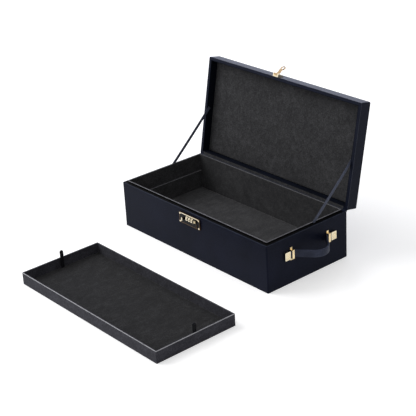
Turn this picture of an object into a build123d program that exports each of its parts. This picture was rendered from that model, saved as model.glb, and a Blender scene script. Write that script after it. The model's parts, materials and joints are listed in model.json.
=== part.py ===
from build123d import *
from math import cos, radians, sin, tan
import os

# Coin display case: a leather-covered case with a lift-out tray, in millimetres, +Z up.
# The origin is the centre of the case's underside. X runs along the case, the lock is on its -Y side and the
# lid hinges along its +Y side. The lid is drawn open, and the tray lies in front of the case.

# --- case ---
case_length = 400.0
case_depth = 195.0
base_height = 90.0
corner_radius = 2.5
edge_bevel = 0.9
shell_wall = 7.5
floor_board = 5.0
liner_thickness = 2.0
lip_height = 3.0
lip_bevel = 0.5
floor_level = 24.0
floor_pad_thickness = 5.0
batten_width = 30.0
batten_count = 3
underside_margin = 5.0
underside_thickness = 1.2

# --- lid ---
lid_depth = 24.5
lid_wall = 5.6
lid_roof = 4.5
lid_lining_thickness = 0.8
lid_pad_thickness = 6.0
lid_pad_radius = 1.5
lid_open_angle = 101.0
hinge_strip_thickness = 0.8
hinge_strip_margin = 10.0

# --- tray ---
tray_fit = 0.75
tray_depth = 165.0
tray_height = 22.5
tray_wall = 2.6
tray_floor = 2.4
tray_corner_radius = 1.0
tray_rim_bevel = 0.4
tray_pad_thickness = 1.6
tray_centre_x = 49.6
tray_centre_y = -289.9
tray_turn = 0.0
tray_sink = 7.5
ledge_thickness = 3.0
ledge_bevel = 0.8
loop_tape_width = 4.0
loop_tape_thickness = 2.6
loop_height = 37.5
loop_foot_width = 2.7
loop_top_width = 7.6
loop_top_radius = 3.4

# --- ribbon stays ---
ribbon_width = 8.5
ribbon_thickness = 0.5
ribbon_foot_y = 20.0
ribbon_lid_reach = 95.0
ribbon_lid_depth = 6.0
ribbon_tab_size = 12.0
ribbon_tab_bevel = 0.8

# --- side handles ---
handle_y = 2.75
handle_drop = 33.0
keeper_spacing = 88.5
keeper_width = 4.8
keeper_height = 16.6
keeper_foot_height = 24.4
keeper_stand_off = 6.9
keeper_sheet = 1.1
keeper_bevel = 0.4
strap_width = 14.0
strap_thickness = 2.2
strap_centre = 3.5
strap_slope = 51.5
strap_apex_radius = 25.0
strap_bend_radius = 5.0
cap_length = 12.6
cap_height = 15.4
cap_thickness = 4.4
cap_corner = 0.9
cap_bevel = 0.5
cap_frame = 1.9
cap_recess = 0.4
cap_rib_count = 4
cap_rib_width = 0.9
cap_pocket = 10.0
cap_gap = 2.95
keeper_leg_size = 1.8
keeper_leg_spacing = 18.6
keeper_leg_bite = 0.7
keeper_clinch_size = 4.0
keeper_clinch_depth = 1.6

# --- lock ---
lock_plate_length = 57.0
lock_plate_height = 20.5
lock_plate_thickness = 2.6
lock_plate_radius = 1.2
lock_plate_bevel = 0.6
lock_drop = 16.0
lock_rim = 1.4
lock_hollow = 1.4
inlay_recess = 0.6
inlay_thickness = 0.5
lock_case_length = 49.0
lock_case_height = 18.0
lock_case_depth = 11.5
lock_case_wall = 1.0
lock_cover_margin = 5.0
lock_cover_thickness = 4.0
lock_cover_corner = 1.0
lock_cover_bevel = 0.8
pocket_gap = 0.1
wheel_count = 3
wheel_radius = 5.5
wheel_width = 4.5
wheel_pitch = 7.0
wheels_x = 1.5
wheel_rise = 2.9
wheel_above_centre = 2.2
wheel_groove = 0.9
digit_count = 10
axle_radius = 1.2
axle_overhang = 0.5
running_gap = 0.06
slot_gap = 0.3
web_thickness = 1.0
web_drop = 6.2
slide_travel = 3.0
slide_gap = 0.2
bar_height = 2.2
bar_thickness = 1.4
button_x = 16.6
button_length = 5.6
button_height = 5.0
button_rise = 2.2
button_rib_width = 0.9
button_rib_rise = 0.8
button_rib_spacing = 2.8
button_above_wheels = 1.2
guard_x = 20.0
guard_width = 0.9
guard_height = 7.4
guard_rise = 1.0
stem_width = 2.4
stem_height = 3.0
neck_width = 2.2
neck_height = 5.0
hook_height = 6.2
hook_reach = 1.4
hook_thickness = 1.4
hook_bevel = 0.9
spring_wire = 0.5
spring_radius = 1.3
spring_turns = 2
spring_depth = 3.2
spring_lug = 1.9
lock_screw_radius = 1.0
lock_screw_head_radius = 1.7
lock_screw_head = 0.7
lock_screw_bevel = 0.35
lock_screw_length = 9.0
lock_screw_inset = 2.6
screw_slot_width = 0.5
screw_slot_depth = 0.35
screw_boss_radius = 2.3

# --- hasp ---
hasp_x = -15.0
hasp_width = 13.2
hasp_base_length = 14.0
hasp_base_thickness = 1.0
hasp_cheek = 2.1
hasp_cheek_gap = 0.2
hasp_setback = 0.4
pivot_height = 4.9
barrel_radius = 1.9
pin_radius = 0.9
pin_head_radius = 1.5
pin_head_thickness = 0.5
arm_width = 6.4
arm_thickness = 1.6
arm_joggle = 1.7
arm_joggle_start = 8.0
arm_joggle_length = 3.0
eye_distance = 18.5
eye_width = 10.0
eye_hole_width = 5.6
eye_hole_length = 7.4
eye_hole_radius = 1.2
arm_rest_angle = 30.0
hasp_screw_radius = 0.9
hasp_screw_head_radius = 1.5
hasp_screw_head = 0.5
hasp_screw_length = 5.0
hasp_screw_spacing = 4.4
hasp_screw_setback = 3.4

# --- places that follow from the sizes above ---
inner_length = case_length - 2 * shell_wall
inner_depth = case_depth - 2 * shell_wall
room_length = inner_length - 2 * liner_thickness
room_depth = inner_depth - 2 * liner_thickness
front_y = -case_depth / 2
hinge_y = case_depth / 2
floor_pad_bottom = floor_level - floor_pad_thickness
ledge_level = base_height - tray_sink - tray_height
lock_centre_z = base_height - lock_drop
handle_z = base_height - handle_drop
lock_face = lock_plate_thickness - inlay_recess
lock_case_half = lock_case_height / 2
wheel_axis_out = lock_plate_thickness + wheel_rise - wheel_radius
tray_length = room_length - 2 * tray_fit

# The front wall's outer face, looking at the lock: x along the case, y up, z outwards.
front_face = Plane(origin=(0, front_y, lock_centre_z), x_dir=(1, 0, 0), z_dir=(0, -1, 0))

# The lid's own frame: x along the case, -y from the hinge to the lid's free edge, z from its rim to its top.
lid_plane = Plane(
    origin=(0, hinge_y, base_height),
    x_dir=(1, 0, 0),
    z_dir=(0, sin(radians(lid_open_angle)), cos(radians(lid_open_angle))),
)

# The lid's front wall, its outer face, at the hasp: x along the case, y from the rim to the top, z outwards.
hasp_face = Plane(
    origin=lid_plane.from_local_coords(Vector(hasp_x, -case_depth, 0)),
    x_dir=(1, 0, 0),
    z_dir=-lid_plane.y_dir,
)

# Each end wall's outer face, looking at the handle: x towards the hinge, z outwards.
end_faces = {
    "right": Plane(origin=(case_length / 2, handle_y, handle_z), x_dir=(0, 1, 0), z_dir=(1, 0, 0)),
    "left": Plane(origin=(-case_length / 2, handle_y, handle_z), x_dir=(0, 1, 0), z_dir=(-1, 0, 0)),
}
sides = {"left": -1, "right": 1}

lock_screw_spots = [
    (end * (lock_plate_length / 2 - lock_screw_inset), level * (lock_plate_height / 2 - lock_screw_inset))
    for end in (-1, 1)
    for level in (-1, 1)
]
hasp_screw_spots = [
    (end * hasp_screw_spacing / 2, hasp_setback + hasp_base_length - hasp_screw_setback) for end in (-1, 1)
]
keeper_leg_spots = [
    (end * keeper_spacing / 2, level * keeper_leg_spacing / 2) for end in (-1, 1) for level in (-1, 1)
]

os.makedirs("parts", exist_ok=True)


# ---------------------------------------- base ----------------------------------------

with BuildPart() as base_shell:
    with BuildSketch():
        RectangleRounded(case_length, case_depth, corner_radius)
    extrude(amount=base_height)
    outer_edges = base_shell.faces().sort_by(Axis.Z)[-1].edges()
    chamfer(outer_edges.sort_by(Axis.Y)[:-3], edge_bevel)
    with BuildSketch(Plane.XY.offset(base_height)):
        Rectangle(inner_length, inner_depth)
    extrude(amount=floor_board - base_height, mode=Mode.SUBTRACT)
    with BuildSketch():
        Rectangle(case_length - 2 * underside_margin, case_depth - 2 * underside_margin)
    extrude(amount=underside_thickness, mode=Mode.SUBTRACT)
    with BuildSketch(Plane.XY.offset(base_height)):
        with Locations((0, hinge_y - shell_wall / 2)):
            Rectangle(case_length - 2 * hinge_strip_margin, shell_wall)
    extrude(amount=-hinge_strip_thickness, mode=Mode.SUBTRACT)
    with BuildSketch(front_face):
        Rectangle(lock_case_length + 2 * pocket_gap, lock_case_height + 2 * pocket_gap)
    extrude(amount=-shell_wall, mode=Mode.SUBTRACT)
    with BuildSketch(front_face):
        with Locations(*lock_screw_spots):
            Circle(lock_screw_radius)
    extrude(amount=lock_plate_thickness - lock_screw_length, mode=Mode.SUBTRACT)
    for end_face in end_faces.values():
        with BuildSketch(end_face):
            with Locations(*keeper_leg_spots):
                Rectangle(keeper_leg_size, keeper_leg_size)
        extrude(amount=-shell_wall, mode=Mode.SUBTRACT)
        with BuildSketch(end_face.offset(-shell_wall)):
            with Locations(*keeper_leg_spots):
                Rectangle(keeper_clinch_size, keeper_clinch_size)
        extrude(amount=keeper_clinch_depth, mode=Mode.SUBTRACT)
base_shell.part.label = "base_shell"
export_step(base_shell.part, "parts/base_shell.step")

with BuildPart() as base_liner:
    with BuildSketch(Plane.XY.offset(floor_board)):
        Rectangle(inner_length, inner_depth)
        Rectangle(room_length, room_depth, mode=Mode.SUBTRACT)
    extrude(amount=base_height + lip_height - floor_board)
    chamfer(base_liner.faces().sort_by(Axis.Z)[-1].edges(), lip_bevel)
    with BuildSketch(front_face.offset(-shell_wall)):
        Rectangle(lock_case_length + 2 * pocket_gap, lock_case_height + 2 * pocket_gap)
    extrude(amount=-liner_thickness, mode=Mode.SUBTRACT)
base_liner.part.label = "base_liner"
export_step(base_liner.part, "parts/base_liner.step")

with BuildPart() as floor_battens:
    with BuildSketch(Plane.XY.offset(floor_board)):
        with GridLocations((room_length - batten_width) / (batten_count - 1), 0, batten_count, 1):
            Rectangle(batten_width, room_depth)
    extrude(amount=floor_pad_bottom - floor_board)
floor_battens.part.label = "floor_battens"
export_step(floor_battens.part, "parts/floor_battens.step")

with BuildPart() as floor_pad:
    with BuildSketch(Plane.XY.offset(floor_pad_bottom)):
        Rectangle(room_length, room_depth)
    extrude(amount=floor_pad_thickness)
floor_pad.part.label = "floor_pad"
export_step(floor_pad.part, "parts/floor_pad.step")

for side_name, side in sides.items():
    with BuildPart() as tray_ledge:
        with BuildSketch(Plane.XY.offset(floor_level)):
            with Locations((side * (room_length - ledge_thickness) / 2, 0)):
                Rectangle(ledge_thickness, room_depth)
        extrude(amount=ledge_level - floor_level)
        top_edges = tray_ledge.faces().sort_by(Axis.Z)[-1].edges().filter_by(Axis.Y)
        chamfer(top_edges.sort_by(lambda edge: abs(edge.center().X))[0], ledge_bevel)
    tray_ledge.part.label = f"tray_ledge_{side_name}"
    export_step(tray_ledge.part, f"parts/tray_ledge_{side_name}.step")

with BuildPart() as underside_panel:
    with BuildSketch():
        Rectangle(case_length - 2 * underside_margin, case_depth - 2 * underside_margin)
    extrude(amount=underside_thickness)
underside_panel.part.label = "underside_panel"
export_step(underside_panel.part, "parts/underside_panel.step")

with BuildPart() as hinge_strip_base:
    with BuildSketch(Plane.XY.offset(base_height)):
        with Locations((0, hinge_y - shell_wall / 2)):
            Rectangle(case_length - 2 * hinge_strip_margin, shell_wall)
    extrude(amount=-hinge_strip_thickness)
hinge_strip_base.part.label = "hinge_strip_base"
export_step(hinge_strip_base.part, "parts/hinge_strip_base.step")


# ---------------------------------------- lid ----------------------------------------

lid_inner_length = case_length - 2 * lid_wall
lid_inner_depth = case_depth - 2 * lid_wall
lid_recess = lid_depth - lid_roof
lid_centre = (0, -case_depth / 2)

with BuildPart() as lid_shell:
    with BuildSketch(lid_plane):
        with Locations(lid_centre):
            RectangleRounded(case_length, case_depth, corner_radius)
    extrude(amount=lid_depth)
    chamfer(lid_shell.faces().sort_by(Axis(lid_plane.origin, lid_plane.z_dir))[-1].edges(), edge_bevel)
    with BuildSketch(lid_plane):
        with Locations(lid_centre):
            Rectangle(lid_inner_length, lid_inner_depth)
    extrude(amount=lid_recess, mode=Mode.SUBTRACT)
    with BuildSketch(lid_plane):
        with Locations((0, -lid_wall / 2)):
            Rectangle(case_length - 2 * hinge_strip_margin, lid_wall)
    extrude(amount=hinge_strip_thickness, mode=Mode.SUBTRACT)
    with BuildSketch(hasp_face):
        with Locations(*hasp_screw_spots):
            Circle(hasp_screw_radius)
    extrude(amount=hasp_base_thickness - hasp_screw_length, mode=Mode.SUBTRACT)
lid_shell.part.label = "lid_shell"
export_step(lid_shell.part, "parts/lid_shell.step")

with BuildPart() as lid_lining:
    with BuildSketch(lid_plane):
        with Locations(lid_centre):
            Rectangle(lid_inner_length, lid_inner_depth)
            Rectangle(
                lid_inner_length - 2 * lid_lining_thickness,
                lid_inner_depth - 2 * lid_lining_thickness,
                mode=Mode.SUBTRACT,
            )
    extrude(amount=lid_recess)
lid_lining.part.label = "lid_lining"
export_step(lid_lining.part, "parts/lid_lining.step")

with BuildPart() as lid_pad:
    with BuildSketch(lid_plane.offset(lid_recess)):
        with Locations(lid_centre):
            Rectangle(lid_inner_length - 2 * lid_lining_thickness, lid_inner_depth - 2 * lid_lining_thickness)
    extrude(amount=-lid_pad_thickness)
    fillet(lid_pad.faces().sort_by(Axis(lid_plane.origin, lid_plane.z_dir))[0].edges(), lid_pad_radius)
lid_pad.part.label = "lid_pad"
export_step(lid_pad.part, "parts/lid_pad.step")

with BuildPart() as hinge_strip_lid:
    with BuildSketch(lid_plane):
        with Locations((0, -lid_wall / 2)):
            Rectangle(case_length - 2 * hinge_strip_margin, lid_wall)
    extrude(amount=hinge_strip_thickness)
hinge_strip_lid.part.label = "hinge_strip_lid"
export_step(hinge_strip_lid.part, "parts/hinge_strip_lid.step")


# ---------------------------------------- ribbon stays ----------------------------------------

ribbon_tab_thickness = lid_inner_length / 2 - lid_lining_thickness - inner_length / 2 - ribbon_thickness
ribbon_top = lid_plane.from_local_coords(Vector(0, -ribbon_lid_reach, ribbon_lid_depth))
ribbon_run = ribbon_top - Vector(0, ribbon_foot_y, base_height)

for side_name, side in sides.items():
    # The strip lies flat against the lip's outer face, and its foot meets the shell's top.
    ribbon_face = Plane(
        origin=(side * inner_length / 2, ribbon_foot_y, base_height), x_dir=ribbon_run, z_dir=(side, 0, 0)
    )
    with BuildPart() as ribbon_stay:
        with BuildSketch(ribbon_face):
            Rectangle(2 * ribbon_run.length, ribbon_width)
        extrude(amount=ribbon_thickness)
        split(bisect_by=Plane.XY.offset(base_height), keep=Keep.TOP)
    ribbon_stay.part.label = f"ribbon_stay_{side_name}"
    export_step(ribbon_stay.part, f"parts/ribbon_stay_{side_name}.step")

    tab_face = Plane(
        origin=ribbon_top + Vector(side * (inner_length / 2 + ribbon_thickness), 0, 0),
        x_dir=lid_plane.y_dir,
        z_dir=(side, 0, 0),
    )
    with BuildPart() as ribbon_tab:
        with BuildSketch(tab_face):
            tab = Rectangle(ribbon_tab_size, min(ribbon_tab_size, 2 * ribbon_lid_depth))
            chamfer(tab.vertices(), ribbon_tab_bevel)
        extrude(amount=ribbon_tab_thickness)
    ribbon_tab.part.label = f"ribbon_tab_{side_name}"
    export_step(ribbon_tab.part, f"parts/ribbon_tab_{side_name}.step")


# ---------------------------------------- side handles ----------------------------------------

strap_inner_edge = (keeper_spacing - keeper_width) / 2
strap_foot = strap_inner_edge - slot_gap - strap_bend_radius * tan(radians(strap_slope) / 2)
strap_peak = strap_centre + strap_foot * tan(radians(strap_slope))
cap_start = (keeper_spacing + keeper_width) / 2 + cap_gap
strap_end = cap_start + cap_pocket

for side_name, end_face in end_faces.items():
    # Seen from the strap's end: x across the strap, y outwards from the case.
    strap_section = Plane(origin=end_face.origin, x_dir=end_face.y_dir, z_dir=end_face.x_dir)
    # Seen from above: x along the strap, y outwards from the case.
    strap_plan = Plane(origin=end_face.origin, x_dir=end_face.x_dir, z_dir=-end_face.y_dir)

    with BuildPart() as keepers:
        for end in (-1, 1):
            with BuildSketch(strap_section.offset(end * keeper_spacing / 2)):
                with Locations((0, keeper_stand_off / 2)):
                    Rectangle(keeper_height, keeper_stand_off)
                with Locations((0, keeper_sheet / 2)):
                    Rectangle(keeper_foot_height, keeper_sheet)
            extrude(amount=keeper_width / 2, both=True)
        outer_faces = keepers.faces().sort_by(Axis(end_face.origin, end_face.z_dir))[-2:]
        chamfer(outer_faces.edges(), keeper_bevel)
        with BuildSketch(strap_section):
            with Locations((0, (keeper_stand_off - keeper_sheet) / 2)):
                Rectangle(keeper_height - 2 * keeper_sheet, keeper_stand_off - keeper_sheet)
        extrude(amount=keeper_spacing, both=True, mode=Mode.SUBTRACT)
        with BuildSketch(end_face):
            with Locations(*keeper_leg_spots):
                Rectangle(keeper_leg_size, keeper_leg_size)
        extrude(amount=keeper_leg_bite, mode=Mode.SUBTRACT)
    keepers.part.label = f"keepers_{side_name}"
    export_step(keepers.part, f"parts/keepers_{side_name}.step")

    with BuildPart() as keeper_legs:
        with BuildSketch(end_face.offset(-shell_wall)):
            with Locations(*keeper_leg_spots):
                Rectangle(keeper_clinch_size, keeper_clinch_size)
        extrude(amount=keeper_clinch_depth)
        with BuildSketch(end_face.offset(-shell_wall)):
            with Locations(*keeper_leg_spots):
                Rectangle(keeper_leg_size, keeper_leg_size)
        extrude(amount=shell_wall + keeper_leg_bite)
    keeper_legs.part.label = f"keeper_legs_{side_name}"
    export_step(keeper_legs.part, f"parts/keeper_legs_{side_name}.step")

    with BuildPart() as handle_strap:
        with BuildSketch(strap_plan):
            with BuildLine() as strap_line:
                FilletPolyline(
                    (-strap_end, strap_centre),
                    (-strap_foot, strap_centre),
                    (0, strap_peak),
                    (strap_foot, strap_centre),
                    (strap_end, strap_centre),
                    radius=[strap_bend_radius, strap_apex_radius, strap_bend_radius],
                )
            trace(line_width=strap_thickness)
        extrude(amount=strap_width / 2, both=True)
    handle_strap.part.label = f"handle_strap_{side_name}"
    export_step(handle_strap.part, f"parts/handle_strap_{side_name}.step")

    for end_name, end in (("front", -1), ("rear", 1)):
        with BuildPart() as strap_cap:
            with BuildSketch(end_face.offset(strap_centre - cap_thickness / 2)):
                with Locations((end * (cap_start + cap_length / 2), 0)):
                    cap_outline = Rectangle(cap_length, cap_height)
                chamfer(cap_outline.vertices(), cap_corner)
            extrude(amount=cap_thickness)
            outer_face = strap_cap.faces().sort_by(Axis(end_face.origin, end_face.z_dir))[-1]
            chamfer(outer_face.edges(), cap_bevel)
            with BuildSketch(end_face.offset(strap_centre + cap_thickness / 2)):
                with Locations((end * (cap_start + cap_length / 2), 0)):
                    Rectangle(cap_length - 2 * cap_frame, cap_height - 2 * cap_frame)
                    with GridLocations((cap_length - 2 * cap_frame) / cap_rib_count, 0, cap_rib_count, 1):
                        Rectangle(cap_rib_width, cap_height - 2 * cap_frame, mode=Mode.SUBTRACT)
            extrude(amount=-cap_recess, mode=Mode.SUBTRACT)
            with BuildSketch(strap_section.offset(end * cap_start)):
                with Locations((0, strap_centre)):
                    Rectangle(strap_width, strap_thickness)
            extrude(amount=end * cap_pocket, mode=Mode.SUBTRACT)
        strap_cap.part.label = f"strap_cap_{side_name}_{end_name}"
        export_step(strap_cap.part, f"parts/strap_cap_{side_name}_{end_name}.step")


# ---------------------------------------- lock ----------------------------------------

wheel_positions = [wheel_pitch * (index - (wheel_count - 1) / 2) for index in range(wheel_count)]
web_positions = [wheels_x + wheel_pitch * (index - wheel_count / 2) for index in range(wheel_count + 1)]
axle_half_length = wheel_pitch * wheel_count / 2 + web_thickness / 2 + axle_overhang
wheel_axle = Plane(
    origin=(wheels_x, front_y - wheel_axis_out, lock_centre_z + wheel_above_centre),
    x_dir=(0, 1, 0),
    z_dir=(1, 0, 0),
)
pivot_drop = hasp_setback + barrel_radius
eye_y = base_height + pivot_drop - eye_distance - lock_centre_z
neck_left = hasp_x - eye_hole_width / 2 + slide_gap
neck_x = neck_left + neck_width / 2
bar_bottom = lock_case_wall + slot_gap - lock_case_half
bar_top = bar_bottom + bar_height
slide_back = -slide_gap - bar_thickness
button_y = wheel_above_centre + button_above_wheels
eye_front = pivot_height + barrel_radius - arm_joggle
button_back = lock_face + inlay_thickness + slide_gap


def slot(left, right, bottom, top):
    """Draw a slot for a post that covers this outline, with its gap and the slide's travel."""
    with Locations(((left + right + slide_travel) / 2, (bottom + top) / 2)):
        Rectangle(right - left + slide_travel + 2 * slot_gap, top - bottom + 2 * slot_gap)


def lock_slots():
    """Draw the openings that the wheels, the catch and the button come through."""
    with Locations((wheels_x, wheel_above_centre)):
        with GridLocations(wheel_pitch, 0, wheel_count, 1):
            Rectangle(wheel_width + 2 * slot_gap, 2 * (wheel_radius + slide_gap))
    slot(neck_left, neck_left + neck_width, eye_y - neck_height / 2, eye_y + neck_height / 2)
    slot(
        button_x - stem_width / 2,
        button_x + stem_width / 2,
        button_y - stem_height / 2,
        button_y + stem_height / 2,
    )


def block(left, right, bottom, top, back, front):
    """Add a block that covers this outline on the front wall, from one depth to another."""
    centre = Vector((left + right) / 2, (bottom + top) / 2, (back + front) / 2)
    with Locations(front_face.from_local_coords(centre)):
        Box(right - left, front - back, top - bottom)


with BuildPart() as lock_plate:
    with BuildSketch(front_face):
        RectangleRounded(lock_plate_length, lock_plate_height, lock_plate_radius)
    extrude(amount=lock_plate_thickness)
    chamfer(lock_plate.faces().sort_by(Axis.Y)[0].edges(), lock_plate_bevel)
    with BuildSketch(front_face.offset(lock_plate_thickness)):
        Rectangle(lock_plate_length - 2 * lock_rim, lock_plate_height - 2 * lock_rim)
        with Locations(*lock_screw_spots):
            Circle(screw_boss_radius, mode=Mode.SUBTRACT)
    extrude(amount=-inlay_recess, mode=Mode.SUBTRACT)
    with BuildSketch(front_face.offset(lock_face)):
        with Locations((guard_x, (guard_height - lock_plate_height) / 2 + lock_rim)):
            Rectangle(guard_width, guard_height)
    extrude(amount=inlay_recess + guard_rise)
    with BuildSketch(front_face):
        Rectangle(lock_case_length, lock_case_height)
    extrude(amount=lock_hollow, mode=Mode.SUBTRACT)
    with BuildSketch(front_face):
        lock_slots()
        with Locations(*lock_screw_spots):
            Circle(lock_screw_radius)
    extrude(amount=lock_plate_thickness, mode=Mode.SUBTRACT)
lock_plate.part.label = "lock_plate"
export_step(lock_plate.part, "parts/lock_plate.step")

with BuildPart() as lock_inlay:
    with BuildSketch(front_face.offset(lock_face)):
        Rectangle(lock_plate_length - 2 * lock_rim, lock_plate_height - 2 * lock_rim)
        with Locations(*lock_screw_spots):
            Circle(screw_boss_radius, mode=Mode.SUBTRACT)
    extrude(amount=inlay_thickness)
    with BuildSketch(front_face.offset(lock_face)):
        lock_slots()
        with Locations((guard_x, (guard_height - lock_plate_height) / 2 + lock_rim)):
            Rectangle(guard_width, guard_height)
    extrude(amount=inlay_thickness, mode=Mode.SUBTRACT)
lock_inlay.part.label = "lock_inlay"
export_step(lock_inlay.part, "parts/lock_inlay.step")

with BuildPart() as lock_case:
    with BuildSketch(front_face):
        Rectangle(lock_case_length, lock_case_height)
    extrude(amount=-lock_case_depth)
    with BuildSketch(front_face):
        Rectangle(lock_case_length - 2 * lock_case_wall, lock_case_height - 2 * lock_case_wall)
    extrude(amount=lock_case_wall - lock_case_depth, mode=Mode.SUBTRACT)
    for web_x in web_positions:
        block(
            web_x - web_thickness / 2,
            web_x + web_thickness / 2,
            wheel_above_centre - web_drop,
            lock_case_half - lock_case_wall,
            lock_case_wall - lock_case_depth,
            wheel_axis_out,
        )
    with BuildSketch(wheel_axle):
        Circle(axle_radius)
    extrude(amount=axle_half_length, both=True, mode=Mode.SUBTRACT)
lock_case.part.label = "lock_case"
export_step(lock_case.part, "parts/lock_case.step")

with BuildPart() as lock_axle:
    with BuildSketch(wheel_axle):
        Circle(axle_radius)
    extrude(amount=axle_half_length, both=True)
lock_axle.part.label = "lock_axle"
export_step(lock_axle.part, "parts/lock_axle.step")

for number, wheel_x in enumerate(wheel_positions, start=1):
    wheel_face = wheel_axle.offset(wheel_x)
    with BuildPart() as number_wheel:
        with BuildSketch(wheel_face):
            Circle(wheel_radius)
            with PolarLocations(wheel_radius, digit_count, start_angle=180 / digit_count):
                Rectangle(wheel_groove, wheel_groove, rotation=45, mode=Mode.SUBTRACT)
            Circle(axle_radius + running_gap, mode=Mode.SUBTRACT)
        extrude(amount=wheel_width / 2, both=True)
    number_wheel.part.label = f"number_wheel_{number}"
    export_step(number_wheel.part, f"parts/number_wheel_{number}.step")

with BuildPart() as lock_slide:
    post_top = lock_case_half - lock_case_wall - slot_gap
    block(neck_left, button_x + stem_width / 2, bar_bottom, bar_top, slide_back, -slide_gap)
    block(neck_left, neck_left + neck_width, bar_bottom, post_top, slide_back, -slide_gap)
    block(
        neck_left,
        neck_left + neck_width,
        post_top - 2 * spring_radius - spring_wire,
        post_top,
        -spring_depth - spring_lug,
        slide_back,
    )
    block(
        neck_left,
        neck_left + neck_width,
        eye_y - neck_height / 2,
        eye_y + neck_height / 2,
        -slide_gap,
        eye_front + 2 * slide_gap,
    )
    block(
        neck_left - hook_reach,
        neck_left + neck_width,
        eye_y - hook_height / 2,
        eye_y + hook_height / 2,
        eye_front + 2 * slide_gap,
        eye_front + 2 * slide_gap + hook_thickness,
    )
    chamfer(lock_slide.faces().sort_by(Axis.Y)[0].edges().sort_by(Axis.X)[0], hook_bevel)
    block(
        button_x - stem_width / 2,
        button_x + stem_width / 2,
        bar_bottom,
        button_y + stem_height / 2,
        slide_back,
        -slide_gap,
    )
    block(
        button_x - stem_width / 2,
        button_x + stem_width / 2,
        button_y - stem_height / 2,
        button_y + stem_height / 2,
        -slide_gap,
        button_back,
    )
    block(
        button_x - button_length / 2,
        button_x + button_length / 2,
        button_y - button_height / 2,
        button_y + button_height / 2,
        button_back,
        button_back + button_rise,
    )
    for rib_x in (button_x - button_rib_spacing / 2, button_x + button_rib_spacing / 2):
        block(
            rib_x - button_rib_width / 2,
            rib_x + button_rib_width / 2,
            button_y - button_height / 2,
            button_y + button_height / 2,
            button_back + button_rise,
            button_back + button_rise + button_rib_rise,
        )
lock_slide.part.label = "lock_slide"
export_step(lock_slide.part, "parts/lock_slide.step")

spring_start = neck_left + neck_width + spring_wire / 2
spring_length = web_positions[0] - web_thickness / 2 - spring_wire / 2 - spring_start
spring_centre = Vector(spring_start, post_top - spring_radius - spring_wire / 2, -spring_depth)
with BuildPart() as lock_spring:
    with BuildLine() as coil:
        Helix(
            pitch=spring_length / spring_turns,
            height=spring_length,
            radius=spring_radius,
            center=front_face.from_local_coords(spring_centre),
            direction=(1, 0, 0),
        )
    with BuildSketch(Plane(origin=coil.line @ 0, z_dir=coil.line % 0)):
        Rectangle(spring_wire, spring_wire)
    sweep(path=coil.line, is_frenet=True)
lock_spring.part.label = "lock_spring"
export_step(lock_spring.part, "parts/lock_spring.step")

with BuildPart() as lock_screws:
    with BuildSketch(front_face.offset(lock_plate_thickness)):
        with Locations(*lock_screw_spots):
            Circle(lock_screw_head_radius)
    extrude(amount=lock_screw_head)
    chamfer(lock_screws.faces().sort_by(Axis.Y)[: len(lock_screw_spots)].edges(), lock_screw_bevel)
    with BuildSketch(front_face.offset(lock_plate_thickness + lock_screw_head)):
        with Locations(*lock_screw_spots):
            Rectangle(2 * lock_screw_head_radius, screw_slot_width)
    extrude(amount=-screw_slot_depth, mode=Mode.SUBTRACT)
    with BuildSketch(front_face.offset(lock_plate_thickness)):
        with Locations(*lock_screw_spots):
            Circle(lock_screw_radius)
    extrude(amount=-lock_screw_length)
lock_screws.part.label = "lock_screws"
export_step(lock_screws.part, "parts/lock_screws.step")

with BuildPart() as lock_cover:
    liner_face = -shell_wall - liner_thickness
    with BuildSketch(front_face.offset(liner_face)):
        cover_outline = Rectangle(
            lock_case_length + 2 * lock_cover_margin,
            lock_case_height + 2 * lock_cover_margin,
        )
        chamfer(cover_outline.vertices(), lock_cover_corner)
    extrude(amount=-lock_cover_thickness)
    chamfer(lock_cover.faces().sort_by(Axis.Y)[-1].edges(), lock_cover_bevel)
    with BuildSketch(front_face.offset(liner_face)):
        Rectangle(lock_case_length, lock_case_height)
    extrude(amount=-lock_case_depth - liner_face, mode=Mode.SUBTRACT)
lock_cover.part.label = "lock_cover"
export_step(lock_cover.part, "parts/lock_cover.step")


# ---------------------------------------- hasp ----------------------------------------

# Seen from the end of the case: x from the lid's rim to its top, y outwards from the lid's front wall.
hasp_side = Plane(origin=hasp_face.origin, x_dir=hasp_face.y_dir, z_dir=hasp_face.x_dir)
pivot = hasp_side.from_local_coords(Vector(pivot_drop, pivot_height, 0))
arm_direction = hasp_face.y_dir * cos(radians(arm_rest_angle)) + hasp_face.z_dir * sin(radians(arm_rest_angle))
# The arm from its side: x from the pivot to the eye, y away from the lid's front wall.
arm_side = Plane(origin=pivot, x_dir=arm_direction, z_dir=hasp_face.x_dir)
arm_plan = Plane(origin=pivot, x_dir=arm_direction, z_dir=arm_side.y_dir)
arm_low = -barrel_radius + arm_thickness / 2
inner_half_width = hasp_width / 2 - hasp_cheek

with BuildPart() as hasp_base:
    with BuildSketch(hasp_face):
        with Locations((0, hasp_setback + hasp_base_length / 2)):
            Rectangle(hasp_width, hasp_base_length)
    extrude(amount=hasp_base_thickness)
    for end in (-1, 1):
        with BuildSketch(hasp_side.offset(end * (hasp_width - hasp_cheek) / 2)):
            with Locations((pivot_drop, pivot_height)):
                Circle(barrel_radius)
            with Locations((hasp_setback + hasp_base_length / 2, hasp_base_thickness / 2)):
                Rectangle(hasp_base_length, hasp_base_thickness)
            make_hull(mode=Mode.REPLACE)
        extrude(amount=hasp_cheek / 2, both=True)
    with BuildSketch(hasp_side):
        with Locations((pivot_drop, pivot_height)):
            Circle(pin_radius)
    extrude(amount=hasp_width / 2, both=True, mode=Mode.SUBTRACT)
    with BuildSketch(hasp_face):
        with Locations(*hasp_screw_spots):
            Circle(hasp_screw_radius)
    extrude(amount=hasp_base_thickness, mode=Mode.SUBTRACT)
hasp_base.part.label = "hasp_base"
export_step(hasp_base.part, "parts/hasp_base.step")

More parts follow.
